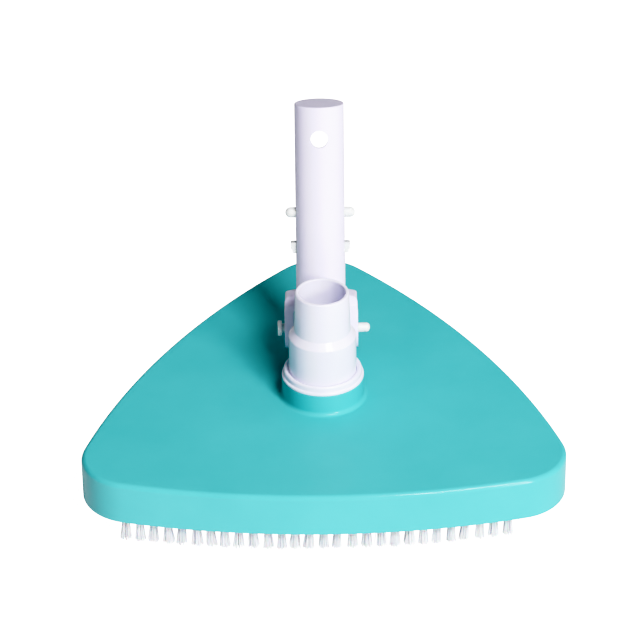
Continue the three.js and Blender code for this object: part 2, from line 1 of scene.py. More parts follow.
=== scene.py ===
"""Looks of the triangular pool brush head: fine surfaces, materials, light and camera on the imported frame.

Lengths are millimetres until a piece is placed. The head frame has its origin on the nozzle's axis at the
level of the bristle tips. The handle frame has its origin on the pivot, with z running up the tube.
"""
import json
import math
import random

import bmesh
import bpy
from mathutils import Matrix, Vector


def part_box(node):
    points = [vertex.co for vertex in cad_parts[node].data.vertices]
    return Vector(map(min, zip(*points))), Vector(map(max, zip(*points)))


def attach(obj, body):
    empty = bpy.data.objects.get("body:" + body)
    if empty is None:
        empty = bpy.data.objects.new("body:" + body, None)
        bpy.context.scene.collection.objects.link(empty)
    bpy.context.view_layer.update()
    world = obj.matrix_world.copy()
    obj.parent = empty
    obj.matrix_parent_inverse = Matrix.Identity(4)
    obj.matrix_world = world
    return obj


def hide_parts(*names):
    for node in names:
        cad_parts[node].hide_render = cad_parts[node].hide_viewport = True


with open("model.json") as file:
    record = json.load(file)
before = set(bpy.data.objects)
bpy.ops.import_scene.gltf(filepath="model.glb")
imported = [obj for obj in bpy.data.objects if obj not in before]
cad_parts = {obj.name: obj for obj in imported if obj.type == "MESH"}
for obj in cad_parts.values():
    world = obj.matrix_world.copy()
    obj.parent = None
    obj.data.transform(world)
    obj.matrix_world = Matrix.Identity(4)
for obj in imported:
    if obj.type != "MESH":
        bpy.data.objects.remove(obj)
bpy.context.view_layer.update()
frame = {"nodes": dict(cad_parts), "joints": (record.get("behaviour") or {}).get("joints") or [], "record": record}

MM = 0.001
joints = {joint["name"]: joint for joint in frame["joints"]}
mounts = {mount["name"]: mount for mount in frame["record"]["mounts"]}

# ---- places read from the frame ----
nozzle_axis = Vector(joints["nozzle_swivel"]["pos_m"][:2] + [0])
pivot = Vector(joints["handle_tilt"]["pos_m"])
tube_direction = Vector(mounts["pole_end"]["axis"]).normalized()
HEAD = Matrix.Translation(nozzle_axis) @ Matrix.Scale(MM, 4)
LEAN = math.atan2(tube_direction.y, tube_direction.z)
HANDLE = Matrix.Translation(pivot) @ Matrix.Rotation(-LEAN, 4, "X") @ Matrix.Scale(MM, 4)
TUBE_TOP = (Vector(mounts["pole_end"]["pos_m"]) - pivot).length / MM
NOZZLE_TOP = mounts["hose_nozzle_rim"]["pos_m"][2] / MM
PIVOT_Y = (pivot.y - nozzle_axis.y) / MM
PIVOT_Z = pivot.z / MM
shell_low, shell_high = (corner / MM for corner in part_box("top_shell"))
plate_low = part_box("brush_plate")[0] / MM
strip_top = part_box("bristle_row_front")[1].z / MM
pin_low, pin_high = ((corner - pivot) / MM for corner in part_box("pivot_pin"))
clip_hinge = Vector(joints["clip_right_press"]["pos_m"]) - pivot
CLIP_X = clip_hinge.x / MM
CLIP_HINGE = clip_hinge.dot(tube_direction) / MM

# ---- triangular outline, sized from the shell's box ----
CORNER_RADIUS = 31
CORNER_REACH = (shell_high.x - CORNER_RADIUS) / math.cos(math.radians(30))
SIDE_REACH = (shell_high.y - shell_low.y) - CORNER_REACH - CORNER_RADIUS
SKIRT_BOTTOM = shell_low.z
SKIRT_HEIGHT = 25
DECK = SKIRT_BOTTOM + SKIRT_HEIGHT
DECK_EDGE = 2.8  # rounding between the deck and the skirt
SKIRT_LIP = 0.5  # rounding of the skirt's lower edge
ROOF_EDGE = 1.5  # chamfer between the deck's underside and the skirt's inside
WALL = 2.4
CLEARANCE = 0.4  # gap between pieces that are assembled but not bonded
SEAT_GAP = 0.1  # gap between faces that rest on each other
PLATE_BOTTOM = plate_low.z
PLATE_THICKNESS = 3
PLATE_TOP = PLATE_BOTTOM + PLATE_THICKNESS
OUTLINE_POINTS = 480
SIDE_TURNS = (0, 120, 240)  # degrees about the nozzle's axis, front side first

# ---- collar, ring and nozzle radii ----
COLLAR_RADIUS = 23.3
COLLAR_TOP = 50.8
FOOT_FILLET = 2.5  # where the collar and the backs of the ears meet the deck
COUNTERBORE_RADIUS = 21.2
COUNTERBORE_FLOOR = 44.6
THROAT_RADIUS = 17
RING_LIP_RADIUS = 23.3
RING_CREST_RADIUS = 22.2
RING_BORE_RADIUS = 19.35
RING_TOP = 57  # where the crest would end if left sharp; its rounding lowers it by about 1 mm
RING_DISH = 1.8  # fall from there to the bore, if left sharp
NOZZLE_FLANGE_RADIUS = 20.6
NOZZLE_FLANGE_HEIGHT = 2.4
NOZZLE_BORE_RADIUS = THROAT_RADIUS - 0.7
NOZZLE_DRAFT = 0.2  # taper of the lower step
LOWER_STEP_RADIUS = 19.2
LOWER_STEP_TOP = 77.6
UPPER_STEP_RADIUS = 16
UPPER_STEP_BASE = 81.6
MOUTH_RADIUS = 15.1
MOUTH_BORE_RADIUS = 13.2

# ---- tube, yoke, ears and pin: heights are up the tube from the pivot ----
TUBE_RADIUS = 14
TUBE_BORE_RADIUS = 11.5
TUBE_FOOT = 9  # the tube starts inside the yoke
TUBE_CAP = 3
TUBE_EDGE = 0.6
YOKE_HALF_DEPTH = 11.2
YOKE_OUTER_X = 20.9
YOKE_UPPER_X = 20.5
YOKE_STEP = 12.8
YOKE_STEP_TOP = 13.3
YOKE_SHOULDER = 19.7
YOKE_CORNER = 2.4
YOKE_TOP = 22.4
YOKE_CROWN_RADIUS = 12.5
SLOT_X = 15.7
SLOT_TOP = 17.2
SLOT_FILLET = 6.2
PIN_RADIUS = 2.7
PIN_HEAD_RADIUS = 4.4
PIN_HEAD_LENGTH = 2.4
PIN_TEETH = 26
PIN_HOLE_RADIUS = 3
EAR_RADIUS = 10
EAR_INNER_X = 10.2
EAR_OUTER_X = 14.3
TETHER_HOLE = 112.8
TETHER_RADIUS = 4.85
TETHER_DROP = 6.2  # the rear opening runs this much further down

# ---- spring clip: heights are up the tube from the pivot ----
CLIP_TOP = 74
CLIP_HALF_THICKNESS = 0.9
CLIP_HALF_WIDTH = 3
CLIP_SPLIT = 0.3  # gap between the bend and each leg
LOCK_PIN = 68
LOCK_PIN_RADIUS = 3
LOCK_PIN_TIP = 19.8
LOCK_PIN_ROOM = 0.85  # each pin's hole is this much larger in radius, and half of it higher
BUTTON_TOP = 50.9
BUTTON_STEP = 46.9
BUTTON_BOTTOM = 44.8
BUTTON_UPPER_X = 17
BUTTON_LOWER_X = 16.1
BUTTON_HALF_WIDTH = 2.9
WINDOW_HALF_WIDTH = 3.4
BUTTON_RISE = 1.4  # room above each button

# ---- from an axis to the ends of cutters and blanks, outside every surface they shape ----
LONG_REACH = 30
SHORT_REACH = 20

# ---- brush ----
TUFTS = 28
TUFT_PITCH = 7.8
TUFT_ROOT_RADIUS = 1.7
TUFT_LEAN = 1.5  # the tips stand this far outside the roots
ROW_REACH = 95
ROW_RADIUS = 520  # the rows are a little straighter than the sides
ROW_SHIFT = -4.35  # seen from outside, each row stands this far left of its side's middle
STRIP_HALF_WIDTH = 2.2
STRIP_BOTTOM = 13.4
FILAMENTS = 84
FILAMENT_RADIUS = 0.2
STRAYS = 0.03  # share of the filaments that splay
RIM_START = 0.88  # share of a tuft's radius: filaments beyond it along the row get painted shade
STRIP_SHADE = 0.25

# ---- screws ----
SCREW_HEAD_RADIUS = 3.4
SCREW_HEAD_HEIGHT = 1.9
SCREW_RADIUS = 1.5
SCREW_LENGTH = 14
RECESS_REACH = 1.7
RECESS_HALF_WIDTH = 0.4

# ---- studio ----
SKY = 0.11
KEY_POWER = 62
LOW_POWER = 31
HIGH_POWER = 3
LAMP_DISTANCE = 2.5
LAMP_TINT = (1.0, 0.99, 0.99)
LAMP_TARGET = Vector((0, 0, 0.05))
FLOOR_GLOW = 0.05
FLOOR_GLOW_SEEN = 2.4
FLOOR_REACH = 6
LENS = 181.8
CAMERA_ELEVATION = math.radians(31.81)
CAMERA_ROLL = math.radians(-0.66)
CAMERA_DISTANCE = 1.81839
CAMERA_TARGET = nozzle_axis + Vector((-2.93, 17.95, 78)) * MM

# ---- response: scene values from darkest to brightest, and control points of the two tone curves ----
DARKEST = 0.028
BRIGHTEST = 4
TONES = ((0.25, 0.25), (0.6, 0.61), (0.9, 0.79), (1.2, 0.885), (1.4, 0.94), (1.8, 0.985), (2.4, 1))
RED_TOE = ((0.01, 0.001), (0.045, 0.016), (0.09, 0.074), (0.145, 0.14), (0.22, 0.22))


# ---------------------------------------------------------------- outlines
def arc(x, y, radius, start, end, steps):
    """Points on an arc, angles in degrees."""
    angles = [math.radians(start + (end - start) * k / steps) for k in range(steps + 1)]
    return [(x + radius * math.cos(a), y + radius * math.sin(a)) for a in angles]


def rounded(corners, steps=6):
    """Closed outline through (x, y, radius) corners, each rounded by its own radius."""
    points = []
    for i, (x, y, radius) in enumerate(corners):
        if radius <= 0:
            points.append((x, y))
            continue
        here = Vector((x, y))
        before = (Vector(corners[i - 1][:2]) - here).normalized()
        after = (Vector(corners[(i + 1) % len(corners)][:2]) - here).normalized()
        half = before.angle(after) / 2
        centre = here + (before + after).normalized() * (radius / math.sin(half))
        start = here + before * (radius / math.tan(half)) - centre
        end = here + after * (radius / math.tan(half)) - centre
        first = math.atan2(start.y, start.x)
        sweep = (math.atan2(end.y, end.x) - first + math.pi) % (2 * math.pi) - math.pi
        for k in range(steps + 1):
            angle = first + sweep * k / steps
            points.append((centre.x + radius * math.cos(angle), centre.y + radius * math.sin(angle)))
    return points


def side_arc():
    """Radius of the side arcs, which are tangent to both corner arcs."""
    across = CORNER_REACH * math.cos(math.radians(30))
    drop = CORNER_REACH / 2 - SIDE_REACH
    return (CORNER_RADIUS**2 - across**2 - drop**2) / (2 * (drop + CORNER_RADIUS))


SIDE_ARC = side_arc()
SIDE_CENTRE = SIDE_ARC - SIDE_REACH


def outline_reach(angle, inset):
    """Distance from the nozzle's axis to the outline, inset evenly, at an angle from the front in radians."""
    third = math.radians(120)
    turned = abs((angle + third / 2) % third - third / 2)
    across = CORNER_REACH * math.cos(math.radians(30))
    spread = math.atan2(across, SIDE_CENTRE + CORNER_REACH / 2)
    corner = CORNER_RADIUS - inset
    tangent_x = across + corner * math.sin(spread)
    tangent_y = CORNER_REACH / 2 + corner * math.cos(spread)
    if turned <= math.atan2(tangent_x, tangent_y):
        along = SIDE_CENTRE * math.cos(turned)
        return math.sqrt(along**2 - SIDE_CENTRE**2 + (SIDE_ARC - inset) ** 2) - along
    off = math.radians(60) - turned
    return CORNER_REACH * math.cos(off) + math.sqrt(corner**2 - (CORNER_REACH * math.sin(off)) ** 2)


def outline_ring(inset, z):
    """The body's outline as a ring of points at height z."""
    return blended_ring(inset, 0, 0, z)


def circle_ring(radius, z):
    """A circle as a ring of points at height z."""
    return blended_ring(0, radius, 1, z)


def blended_ring(inset, radius, share, z):
    """A ring part of the way from the body's outline (share 0) to a circle (share 1)."""
    ring = []
    for i in range(OUTLINE_POINTS):
        angle = 2 * math.pi * i / OUTLINE_POINTS
        reach = radius if share == 1 else outline_reach(angle, inset) * (1 - share) + radius * share
        ring.append((reach * math.sin(angle), -reach * math.cos(angle), z))
    return ring


# ---------------------------------------------------------------- meshes
def mesh_from(vertices, faces):
    """Mesh with doubled points, empty faces and loose edges removed, and its faces pointing out."""
    mesh = bpy.data.meshes.new("piece")
    mesh.from_pydata([tuple(v) for v in vertices], [], faces)
    work = bmesh.new()
    work.from_mesh(mesh)
    bmesh.ops.remove_doubles(work, verts=work.verts, dist=1e-4)
    bmesh.ops.dissolve_degenerate(work, edges=work.edges, dist=1e-5)
    loose = [edge for edge in work.edges if not edge.link_faces]
    bmesh.ops.delete(work, geom=loose, context="EDGES")
    bmesh.ops.recalc_face_normals(work, faces=work.faces)
    work.to_mesh(mesh)
    work.free()
    return mesh


def ringed(rings):
    """Quads through a loop of equal rings, the last joined to the first."""
    count = len(rings[0])
    vertices = [point for ring in rings for point in ring]
    faces = []
    for level in range(len(rings)):
        low = level * count
        high = (level + 1) % len(rings) * count
        for i in range(count):
            j = (i + 1) % count
            faces.append((low + i, low + j, high + j, high + i))
    return mesh_from(vertices, faces)


def revolved(profile, segments=144, ripple=None):
    """Solid turned about z from a closed (radius, z) outline. ripple changes a radius by angle."""
    rings = []
    for radius, z in profile:
        ring = []
        for i in range(segments):
            angle = 2 * math.pi * i / segments
            reach = ripple(radius, z, angle) if ripple else radius
            ring.append((reach * math.cos(angle), reach * math.sin(angle), z))
        rings.append(ring)
    return ringed(rings)


def prism(outline, low, high, axes):
    """Outline given thickness from low to high. axes names the two outline axes, such as "xz"."""
    first, second, third = {"xz": (0, 2, 1), "yz": (1, 2, 0), "xy": (0, 1, 2)}[axes]
    vertices = []
    for level in (low, high):
        for a, b in outline:
            point = [0, 0, 0]
            point[first] = a
            point[second] = b
            point[third] = level
            vertices.append(point)
    count = len(outline)
    faces = [(i, (i + 1) % count, count + (i + 1) % count, count + i) for i in range(count)]
    faces += [tuple(range(count)), tuple(range(2 * count - 1, count - 1, -1))]
    return mesh_from(vertices, faces)


def moved(mesh, matrix):
    """The mesh itself, moved by a matrix."""
    mesh.transform(matrix)
    return mesh


def rod(radius, low, high, axis, segments=64):
    """Round bar along an axis of the frame."""
    mesh = revolved([(0, low), (radius, low), (radius, high), (0, high)], segments)
    turn = {"x": Matrix.Rotation(math.pi / 2, 4, "Y"), "y": Matrix.Rotation(-math.pi / 2, 4, "X")}
    return moved(mesh, turn[axis]) if axis in turn else mesh


def block(low, high):
    """Square block from its lowest to its highest corner."""
    outline = [(low[0], low[2]), (high[0], low[2]), (high[0], high[2]), (low[0], high[2])]
    return prism(outline, low[1], high[1], "xz")


def evaluated(mesh, add_modifiers):
    """The mesh after modifiers, worked on a throw-away object."""
    worker = bpy.data.objects.new("worker", mesh)
    bpy.context.scene.collection.objects.link(worker)
    add_modifiers(worker)
    bpy.context.view_layer.update()
    graph = bpy.context.evaluated_depsgraph_get()
    result = bpy.data.meshes.new_from_object(worker.evaluated_get(graph))
    bpy.data.objects.remove(worker)
    return result


def combined(mesh, other, operation):
    """Boolean of two closed meshes: UNION, DIFFERENCE or INTERSECT."""
    tool = bpy.data.objects.new("tool", other)
    bpy.context.scene.collection.objects.link(tool)

    def add(worker):
        step = worker.modifiers.new("join", "BOOLEAN")
        step.operation = operation
        step.solver = "MANIFOLD"
        step.object = tool

    result = evaluated(mesh, add)
    bpy.data.objects.remove(tool)
    return result


def softened(mesh, width, segments=3, angle=40):
    """Edges sharper than the angle are rounded by the width."""

    def add(worker):
        step = worker.modifiers.new("edges", "BEVEL")
        step.width = width
        step.segments = segments
        step.limit_method = "ANGLE"
        step.angle_limit = math.radians(angle)

    return evaluated(mesh, add)


def piece(name, mesh, place, body, material, node, sharp=35):
    """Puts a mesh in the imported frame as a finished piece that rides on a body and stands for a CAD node."""
    mesh.transform(place)
    mesh.shade_smooth()
    mesh.set_sharp_from_angle(angle=math.radians(sharp))
    mesh.materials.clear()
    mesh.materials.append(material)
    made = bpy.data.objects.new(name, mesh)
    bpy.context.scene.collection.objects.link(made)
    weighted = made.modifiers.new("shading", "WEIGHTED_NORMAL")
    weighted.keep_sharp = True
    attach(made, body)
    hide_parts(node)


# ---------------------------------------------------------------- materials
class Nodes:
    """A small helper that adds and wires shader nodes."""

    def __init__(self, name):
        self.material = bpy.data.materials.new(name)
        self.material.use_nodes = True
        self.tree = self.material.node_tree
        self.shader = self.tree.nodes["Principled BSDF"]
        self.position = self.add("ShaderNodeTexCoord").outputs["Object"]

    def add(self, kind, **settings):
        """Adds a node. Each setting is an input's value if the node has that input, else an attribute."""
        node = self.tree.nodes.new(kind)
        for key, value in settings.items():
            if key in node.inputs:
                node.inputs[key].default_value = value
            else:
                setattr(node, key, value)
        return node

    def link(self, output, target):
        self.tree.links.new(output, target)

    def noise(self, scale, detail):
        """Noise with a given number of features per metre, as a value about one half."""
        node = self.add("ShaderNodeTexNoise", Scale=scale, Detail=detail)
        self.link(self.position, node.inputs["Vector"])
        return node.outputs["Fac"]

    def spread(self, value, low, high, start=0.3, end=0.7):
        """Maps a value in start to end onto low to high."""
        node = self.add("ShaderNodeMapRange")
        for key, number in (("From Min", start), ("From Max", end), ("To Min", low), ("To Max", high)):
            node.inputs[key].default_value = number
        self.link(value, node.inputs["Value"])
        return node.outputs["Result"]

    def mix(self, share, first, second):
        """First colour where share is 0, second where it is 1."""
        node = self.add("ShaderNodeMix", data_type="RGBA")
        node.inputs[6].default_value = first
        node.inputs[7].default_value = second
        self.link(share, node.inputs[0])
        return node.outputs[2]

    def bump(self, height, strength, distance, after=None):
        node = self.add("ShaderNodeBump", Strength=strength, Distance=distance)
        self.link(height, node.inputs["Height"])
        if after:
            self.link(after, node.inputs["Normal"])
        return node.outputs["Normal"]


def linear(red, green, blue):
    """An sRGB colour, 0 to 255, as linear RGBA."""
    parts = [value / 255 for value in (red, green, blue)]
    return tuple(p / 12.92 if p <= 0.04045 else ((p + 0.055) / 1.055) ** 2.4 for p in parts) + (1,)


def moulded(name, colour, second, roughness, shine=0.5, coat=0.0, flat_coat=None, scatter=None):
    """Injection moulded plastic: faint colour drift, uneven gloss, a fine spark texture and slow waviness.

    flat_coat is the gloss coat of faces that point up, where it differs from the sides' coat.
    scatter is a (weight, reach in each colour) pair for plastics that let light in.
    """
    nodes = Nodes(name)
    inputs = nodes.shader.inputs
    drift = nodes.spread(nodes.noise(26, 4), 0, 1)
    nodes.link(nodes.mix(drift, colour, second), inputs["Base Color"])
    gloss = nodes.spread(nodes.noise(90, 5), roughness - 0.04, roughness + 0.05)
    nodes.link(gloss, inputs["Roughness"])
    fine = nodes.bump(nodes.noise(5200, 2), 0.10, 0.00002)
    slow = nodes.bump(nodes.noise(34, 1), 0.10, 0.0004, fine)
    nodes.link(slow, inputs["Normal"])
    inputs["IOR"].default_value = 1.5
    if scatter:
        inputs["Subsurface Weight"].default_value = scatter[0]
        inputs["Subsurface Radius"].default_value = scatter[1]
        inputs["Subsurface Scale"].default_value = 0.0015
    inputs["Specular IOR Level"].default_value = shine
    inputs["Coat Weight"].default_value = coat
    inputs["Coat Roughness"].default_value = 0.1
    if flat_coat is not None:
        split = nodes.add("ShaderNodeSeparateXYZ")
        nodes.link(nodes.add("ShaderNodeNewGeometry").outputs["Normal"], split.inputs[0])
        nodes.link(nodes.spread(split.outputs["Z"], coat, flat_coat, 0.5, 0.95), inputs["Coat Weight"])
    return nodes.material


def bristle_nylon():
    """Clear-white filament: painted shade makes the outermost and splayed filaments greyer; it fades out at the
    cut tips, which show whiter.
    """
    nodes = Nodes("bristle_nylon")
    shade = nodes.add("ShaderNodeAttribute", attribute_name="shade").outputs["Fac"]
    streak = nodes.spread(nodes.noise(2400, 2), 0, 0.08)
    total = nodes.add("ShaderNodeMath", operation="ADD", use_clamp=True)
    nodes.link(shade, total.inputs[0])
    nodes.link(streak, total.inputs[1])
    colour = nodes.mix(total.outputs[0], linear(249, 250, 255), linear(96, 114, 142))
    nodes.link(colour, nodes.shader.inputs["Base Color"])
    nodes.shader.inputs["Roughness"].default_value = 0.38
    nodes.shader.inputs["Subsurface Weight"].default_value = 0.3
    nodes.shader.inputs["Subsurface Scale"].default_value = 0.0006
    return nodes.material


def steel():
    """Plated screw steel with fine turning marks."""
    nodes = Nodes("screw_steel")
    nodes.shader.inputs["Metallic"].default_value = 1
    drift = nodes.spread(nodes.noise(300, 4), 0, 1)
    colour = nodes.mix(drift, (0.50, 0.51, 0.53, 1), (0.66, 0.67, 0.69, 1))
    nodes.link(colour, nodes.shader.inputs["Base Color"])
    nodes.link(nodes.spread(nodes.noise(1800, 3), 0.22, 0.42), nodes.shader.inputs["Roughness"])
    nodes.link(nodes.bump(nodes.noise(3500, 2), 0.15, 0.00002), nodes.shader.inputs["Normal"])
    return nodes.material


def cast_iron():
    """Dark, rough casting for the ballast weights."""
    nodes = Nodes("cast_iron")
    drift = nodes.spread(nodes.noise(240, 6), 0, 1)
    colour = nodes.mix(drift, (0.030, 0.031, 0.034, 1), (0.075, 0.072, 0.070, 1))
    nodes.link(colour, nodes.shader.inputs["Base Color"])
    nodes.shader.inputs["Metallic"].default_value = 0.6
    nodes.shader.inputs["Roughness"].default_value = 0.68
    nodes.link(nodes.bump(nodes.noise(900, 6), 0.5, 0.0003), nodes.shader.inputs["Normal"])
    return nodes.material


def floor_white():
    """Pale floor. What the camera sees is lifted towards an even white sweep, with a faint shadow left."""
    nodes = Nodes("floor_white")
    tone = nodes.mix(nodes.spread(nodes.noise(5, 2), 0, 1), (0.86, 0.86, 0.87, 1), (0.89, 0.89, 0.90, 1))
    nodes.link(tone, nodes.shader.inputs["Base Color"])
    nodes.shader.inputs["Roughness"].default_value = 0.9
    nodes.shader.inputs["Specular IOR Level"].default_value = 0.1
    nodes.shader.inputs["Emission Color"].default_value = (1, 1, 1, 1)
    seen = nodes.add("ShaderNodeLightPath").outputs["Is Camera Ray"]
    glow = nodes.spread(seen, FLOOR_GLOW, FLOOR_GLOW_SEEN, 0, 1)
    nodes.link(glow, nodes.shader.inputs["Emission Strength"])
    return nodes.material


WHITE_SCATTER = (0.25, (1, 0.9, 0.95))
TEAL = moulded(
    "teal_shell", linear(88, 182, 188), linear(92, 187, 193), 0.6, shine=0.2, coat=0.42, flat_coat=0.06
)
TEAL_PLATE = moulded("teal_plate", linear(62, 172, 178), linear(68, 180, 186), 0.6, coat=0.1)
WHITE = moulded(
    "white_plastic", linear(231, 231, 254), linear(234, 234, 255), 0.5, coat=0.8, scatter=WHITE_SCATTER
)
WHITE_TUBE = moulded(
    "white_tube", linear(227, 223, 250), linear(230, 227, 251), 0.5, coat=0.3, scatter=WHITE_SCATTER
)
NYLON = moulded(
    "natural_nylon", linear(218, 224, 223), linear(228, 232, 230), 0.4, scatter=(0.7, (1, 0.97, 0.92))
)
BRISTLE = bristle_nylon()
STEEL = steel()
IRON = cast_iron()


# ---------------------------------------------------------------- shell and plate
def collar_profile():
    """(radius, z) from the deck up over the collar and down its counterbore to the throat."""
    foot = arc(COLLAR_RADIUS + FOOT_FILLET, DECK + FOOT_FILLET, FOOT_FILLET, 270, 180, 8)
    lip = arc(COLLAR_RADIUS - 0.5, COLLAR_TOP - 0.5, 0.5, 0, 90, 4)
    inner_lip = arc(COUNTERBORE_RADIUS + 0.2, COLLAR_TOP - 0.2, 0.2, 90, 180, 2)
    throat_edge = arc(THROAT_RADIUS + 0.5, COUNTERBORE_FLOOR - 0.5, 0.5, 90, 180, 3)
    return foot + lip + inner_lip + [(COUNTERBORE_RADIUS, COUNTERBORE_FLOOR)] + throat_edge


def shell_rings():
    """Rings up the skirt, over the deck and collar, down the throat and back along the inside."""
    wall_low = SKIRT_BOTTOM + SKIRT_LIP
    wall_height = DECK - DECK_EDGE - SKIRT_BOTTOM - SKIRT_LIP
    lip = [outline_ring(inset, z) for inset, z in arc(SKIRT_LIP, wall_low, SKIRT_LIP, 270, 180, 4)]
    wall = [outline_ring(0, wall_low + wall_height * k / 5) for k in range(1, 5)]
    roll = [outline_ring(inset, z) for inset, z in arc(DECK_EDGE, DECK - DECK_EDGE, DECK_EDGE, 180, 90, 9)]
    collar = collar_profile()
    foot = collar[0][0]
    deck = [blended_ring(DECK_EDGE, foot, share, DECK) for share in (0.04, 0.15, 0.3, 0.5, 0.7, 0.88)]
    turned = [circle_ring(radius, z) for radius, z in collar]
    throat_bottom = PLATE_TOP + CLEARANCE
    throat_outer = THROAT_RADIUS + WALL
    inside = [
        circle_ring(THROAT_RADIUS, throat_bottom),
        circle_ring(throat_outer, throat_bottom),
        circle_ring(throat_outer, DECK - WALL - 0.01),
    ]
    roof_inset = WALL + ROOF_EDGE
    roof = [blended_ring(roof_inset, throat_outer, share, DECK - WALL) for share in (0.9, 0.5, 0.1)]
    inner_wall = [outline_ring(roof_inset, DECK - WALL), outline_ring(WALL, DECK - WALL - ROOF_EDGE)]
    chamfer = 0.3
    rim = [outline_ring(WALL, SKIRT_BOTTOM + chamfer), outline_ring(WALL - chamfer, SKIRT_BOTTOM)]
    return lip + wall + roll + deck + turned + inside + roof + inner_wall + rim


def ring_space():
    """Room for the retaining ring, cut out of the ears."""
    edge = 1.1
    corner = arc(RING_LIP_RADIUS - edge, RING_TOP - edge, edge + CLEARANCE, 0, 90, 4)
    low_edge = [(0, COLLAR_TOP), (RING_LIP_RADIUS + CLEARANCE, COLLAR_TOP)]
    return revolved(low_edge + corner + [(0, RING_TOP + CLEARANCE)], 96)


def ear(side):
    """One hinge ear: round top about the pivot, straight down to the deck, and a fillet behind its foot."""
    base = DECK - 1
    front_y = PIVOT_Y - EAR_RADIUS
    rear_y = PIVOT_Y + EAR_RADIUS + FOOT_FILLET
    crown = arc(PIVOT_Y, PIVOT_Z, EAR_RADIUS, 0, 180, 32)
    foot = arc(rear_y, DECK + FOOT_FILLET, FOOT_FILLET, 180, 270, 6)
    outline = [(front_y, base), (rear_y, base)] + foot[::-1] + crown
    low, high = sorted((side * EAR_INNER_X, side * EAR_OUTER_X))
    solid = softened(prism(outline, low, high, "yz"), 0.7, 3)
    solid = combined(solid, ring_space(), "DIFFERENCE")
    hole = rod(PIN_HOLE_RADIUS, -LONG_REACH, LONG_REACH, "x", 48)
    moved(hole, Matrix.Translation((0, PIVOT_Y, PIVOT_Z)))
    return combined(solid, hole, "DIFFERENCE")


def build_shell():
    """Skirt, deck and collar in one skin, with the two ears joined on and kept out of the counterbore."""
    shell = ringed(shell_rings())
    bore = rod(COUNTERBORE_RADIUS, COLLAR_TOP - 5, COLLAR_TOP + 5, "z", OUTLINE_POINTS)
    for side in (-1, 1):
        shell = combined(shell, combined(ear(side), bore.copy(), "DIFFERENCE"), "UNION")
    piece("top_shell_fine", shell, HEAD, "head", TEAL, "top_shell")


def build_plate():
    """Underside plate: rounded rim and a rolled lip round the suction mouth."""
    inset = WALL + CLEARANCE
    edge = 0.5
    rings = [
        outline_ring(inset + edge, PLATE_TOP),
        outline_ring(inset, PLATE_TOP - edge),
        outline_ring(inset, PLATE_BOTTOM + edge),
        outline_ring(inset + edge, PLATE_BOTTOM),
    ]
    lip_outer = THROAT_RADIUS + 4
    lip_bottom = PLATE_BOTTOM - 1.4
    lip_foot = lip_outer + 0.8
    rings += [blended_ring(inset, lip_foot, share, PLATE_BOTTOM) for share in (0.1, 0.3, 0.5, 0.7, 0.9)]
    lip = arc(lip_foot, PLATE_BOTTOM - 0.8, 0.8, 90, 180, 4)
    lip += arc(lip_outer - 0.6, lip_bottom + 0.6, 0.6, 0, -90, 4)
    lip += arc(THROAT_RADIUS + 0.9, lip_bottom + 0.9, 0.9, 270, 180, 5)
    rings += [circle_ring(radius, z) for radius, z in lip]
    rings += [circle_ring(THROAT_RADIUS, PLATE_TOP)]
    rings += [blended_ring(inset + edge, THROAT_RADIUS, share, PLATE_TOP) for share in (0.9, 0.5, 0.1)]
    piece("brush_plate_fine", ringed(rings), HEAD, "head", TEAL_PLATE, "brush_plate")


# ---------------------------------------------------------------- nozzle and ring
def build_nozzle():
    """Flanged foot inside the collar, lower step, shoulder, upper step and open mouth."""
    foot = COUNTERBORE_FLOOR + CLEARANCE
    flange = foot + NOZZLE_FLANGE_HEIGHT
    profile = rounded([
        (NOZZLE_BORE_RADIUS, foot, 0.3),
        (NOZZLE_FLANGE_RADIUS, foot, 0.4),
        (NOZZLE_FLANGE_RADIUS, flange, 0.4),
        (LOWER_STEP_RADIUS - NOZZLE_DRAFT, flange, 0),
        (LOWER_STEP_RADIUS, RING_TOP, 0),
        (LOWER_STEP_RADIUS - NOZZLE_DRAFT, LOWER_STEP_TOP, 1.3),
        (UPPER_STEP_RADIUS, UPPER_STEP_BASE, 0.9),
        (MOUTH_RADIUS, NOZZLE_TOP, 0.9),
        (MOUTH_BORE_RADIUS, NOZZLE_TOP, 0.7),
        (MOUTH_BORE_RADIUS - 0.1, UPPER_STEP_BASE, 3),
        (NOZZLE_BORE_RADIUS, LOWER_STEP_TOP - WALL, 3),
    ])
    piece("hose_nozzle_fine", revolved(profile), HEAD, "nozzle", WHITE, "hose_nozzle")


def build_ring():
    """Skirt inside the counterbore, lip on the collar, and a dished top."""
    seat = COLLAR_TOP + SEAT_GAP
    skirt = COUNTERBORE_FLOOR + 3.2
    skirt_radius = COUNTERBORE_RADIUS - CLEARANCE
    profile = rounded([
        (RING_BORE_RADIUS, skirt, 0.2),
        (skirt_radius, skirt, 0.2),
        (skirt_radius, seat, 0),
        (RING_LIP_RADIUS, seat, 0.3),
        (RING_LIP_RADIUS, seat + 1.3, 0.55),
        (RING_CREST_RADIUS, seat + 1.9, 0.5),
        (RING_CREST_RADIUS, RING_TOP, 1.2),
        (RING_BORE_RADIUS, RING_TOP - RING_DISH, 0.3),
    ])
    ring = revolved(profile)
    piece("retaining_ring_fine", ring, HEAD, "head", WHITE, "nozzle_retaining_ring")


